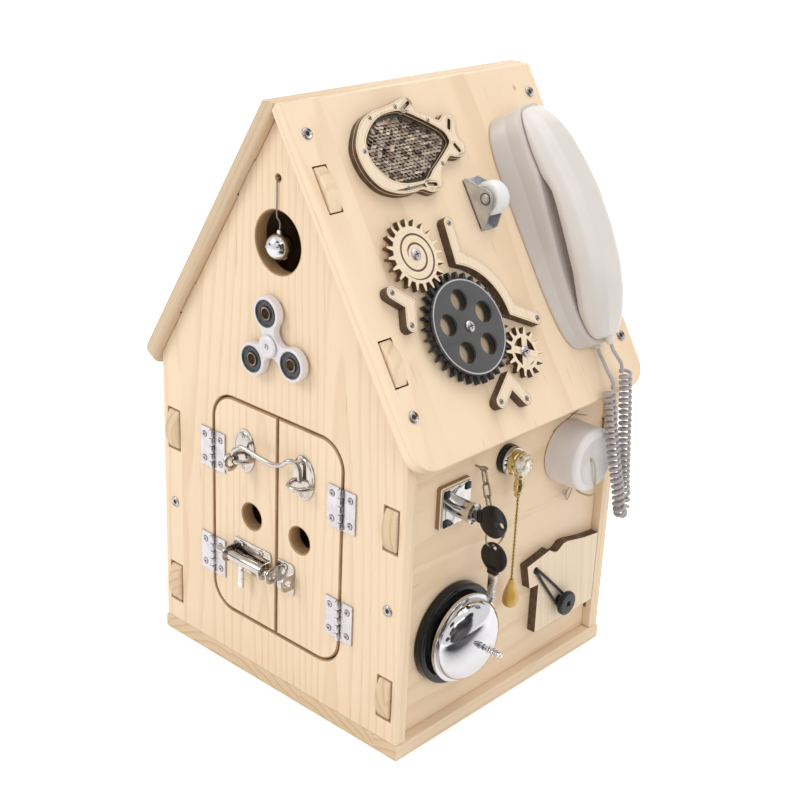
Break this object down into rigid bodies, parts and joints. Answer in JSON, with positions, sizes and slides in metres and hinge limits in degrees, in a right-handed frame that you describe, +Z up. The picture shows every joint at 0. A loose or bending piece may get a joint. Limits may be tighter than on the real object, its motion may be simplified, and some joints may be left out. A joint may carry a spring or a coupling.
{
  "type": "wooden activity house",
  "caption": "Gabled wooden activity house on a base board: hinged double doors with a hook and bolt, and gears, a telephone, keys, a bell and other things to work.",
  "frame": {"origin": "centre of the base board's underside, where the house stands", "axes": "+Z up; -Y out of the gable with the doors; +X out of the wall with the bell, lock and drum; the roof board over that wall carries the gears and the telephone"},
  "size_m": [0.346, 0.3011, 0.5],
  "materials": {
    "pine": "bare sanded solid pine with soft grain",
    "plywood": "bare birch plywood with burnt cut edges",
    "nickel": "polished nickel plate",
    "pale_steel": "zinc plated sheet and pins",
    "chrome": "polished chrome",
    "brass": "yellowed brass body on a black base",
    "black_plastic": "glossy black",
    "elastic": "black round elastic",
    "grey_plastic": "dark grey satin",
    "white_plastic": "white satin",
    "telephone_plastic": "warm grey-beige satin moulding",
    "cord_plastic": "light grey soft jacket",
    "sequins": "brown-grey sequin cloth",
    "string": "thin round string",
    "amber_plastic": "amber pull on a bead chain"
  },
  "bodies": {
    "house": {"base_board": "pine", "front_gable": "pine", "back_gable": "pine", "right_wall": "pine", "left_wall": "pine", "right_roof": "pine", "left_roof": "pine", "lock_backing": "plywood", "ply_panel": "plywood", "top_guard": "plywood", "left_guard": "plywood", "lower_guard": "plywood", "fish_frame": "plywood", "key_chain": "nickel", "drive_gear_axle": "nickel", "spiral_gear_axle": "nickel", "small_gear_axle": "nickel", "left_upper_hinge_frame_leaf": "pale_steel", "left_lower_hinge_frame_leaf": "pale_steel", "right_upper_hinge_frame_leaf": "pale_steel", "right_lower_hinge_frame_leaf": "pale_steel", "spinner_axle": "pale_steel", "caster_bracket": "pale_steel", "bell_dome": "chrome", "lock_body": "chrome", "switch_body": "brass", "bell_base": "black_plastic", "button": "black_plastic", "elastic_loop": "elastic", "drum": "white_plastic", "phone_base": "telephone_plastic", "curly_cord": "cord_plastic", "sequin_cloth": "sequins", "drum_cord": "string"},
    "left_leaf": {"left_door": "pine", "left_upper_hinge_door_leaf": "pale_steel", "left_lower_hinge_door_leaf": "pale_steel", "hook_plate": "nickel", "bolt_barrel": "nickel"},
    "right_leaf": {"right_door": "pine", "right_upper_hinge_door_leaf": "pale_steel", "right_lower_hinge_door_leaf": "pale_steel", "hook_eye_plate": "nickel", "bolt_keeper": "nickel"},
    "hook": {"door_hook": "nickel"},
    "bolt": {"bolt_rod": "nickel"},
    "spinner": {"spinner_body": "white_plastic"},
    "window_bell": {"jingle_bell": "chrome", "bell_string": "string"},
    "bell_button": {"bell_plunger": "chrome"},
    "turned_key": {"lock_key": "black_plastic"},
    "hanging_key": {"spare_key": "black_plastic"},
    "pull": {"pull_chain": "amber_plastic"},
    "drive_wheel": {"drive_gear": "black_plastic", "gear_disc": "grey_plastic"},
    "spiral_wheel": {"spiral_gear": "plywood"},
    "small_wheel": {"small_gear": "plywood"},
    "rolling_wheel": {"caster_wheel": "white_plastic"},
    "handset": {"phone_handset": "telephone_plastic"}
  },
  "joints": [
    {"name": "left_door_swing", "type": "hinge", "parent": "house", "child": "left_leaf", "pos_m": [-0.0749, -0.1375, 0.1505], "axis": [0, 0, -1], "range_deg": [0, 120]},
    {"name": "right_door_swing", "type": "hinge", "parent": "house", "child": "right_leaf", "pos_m": [0.0749, -0.1375, 0.1505], "axis": [0, 0, 1], "range_deg": [0, 120]},
    {"name": "hook_swing", "type": "hinge", "parent": "left_leaf", "child": "hook", "pos_m": [-0.036, -0.149, 0.206], "axis": [0, -1, 0], "range_deg": [-6, 24]},
    {"name": "bolt_slide", "type": "slide", "parent": "left_leaf", "child": "bolt", "axis": [1, 0, 0], "range_m": [0, 0.024]},
    {"name": "spinner_spin", "type": "hinge", "parent": "house", "child": "spinner", "pos_m": [0, -0.14, 0.3135], "axis": [0, -1, 0], "continuous": true},
    {"name": "window_bell_swing", "type": "hinge", "parent": "house", "child": "window_bell", "pos_m": [0, -0.135, 0.4434], "axis": [0, -1, 0], "range_deg": [-12, 12]},
    {"name": "bell_press", "type": "slide", "parent": "house", "child": "bell_button", "axis": [-1, 0, 0], "range_m": [0, 0.004], "stiffness_N_per_m": 600, "springref_m": -0.002},
    {"name": "key_turn", "type": "hinge", "parent": "house", "child": "turned_key", "pos_m": [0.172, -0.0715, 0.203], "axis": [-1, 0, 0], "range_deg": [0, 90]},
    {"name": "spare_key_swing", "type": "hinge", "parent": "house", "child": "hanging_key", "pos_m": [0.163, -0.0555, 0.173], "axis": [0, -1, 0], "range_deg": [-10, 40]},
    {"name": "chain_pull", "type": "slide", "parent": "house", "child": "pull", "axis": [0, 0, -1], "range_m": [0, 0.008], "stiffness_N_per_m": 300, "springref_m": -0.004},
    {"name": "drive_gear_spin", "type": "hinge", "parent": "house", "child": "drive_wheel", "pos_m": [0.11473, -0.051, 0.33699], "axis": [0.8508, 0, 0.5256], "continuous": true},
    {"name": "spiral_gear_spin", "type": "hinge", "parent": "house", "child": "spiral_wheel", "pos_m": [0.08147, -0.07592, 0.39082], "axis": [0.8508, 0, 0.5256], "continuous": true},
    {"name": "small_gear_spin", "type": "hinge", "parent": "house", "child": "small_wheel", "pos_m": [0.13168, -0.00017, 0.30955], "axis": [0.8508, 0, 0.5256], "continuous": true},
    {"name": "caster_wheel_spin", "type": "hinge", "parent": "house", "child": "rolling_wheel", "pos_m": [0.07901, 0.0185, 0.41954], "axis": [0, 1, 0], "continuous": true},
    {"name": "handset_lift", "type": "slide", "parent": "house", "child": "handset", "axis": [0.8508, 0, 0.5256], "range_m": [0, 0.04]}
  ],
  "couplings": [
    {"joint": "right_door_swing", "follows": "left_door_swing", "ratio": 1},
    {"joint": "spiral_gear_spin", "follows": "drive_gear_spin", "ratio": -1.6},
    {"joint": "small_gear_spin", "follows": "drive_gear_spin", "ratio": -2.2857}
  ]
}
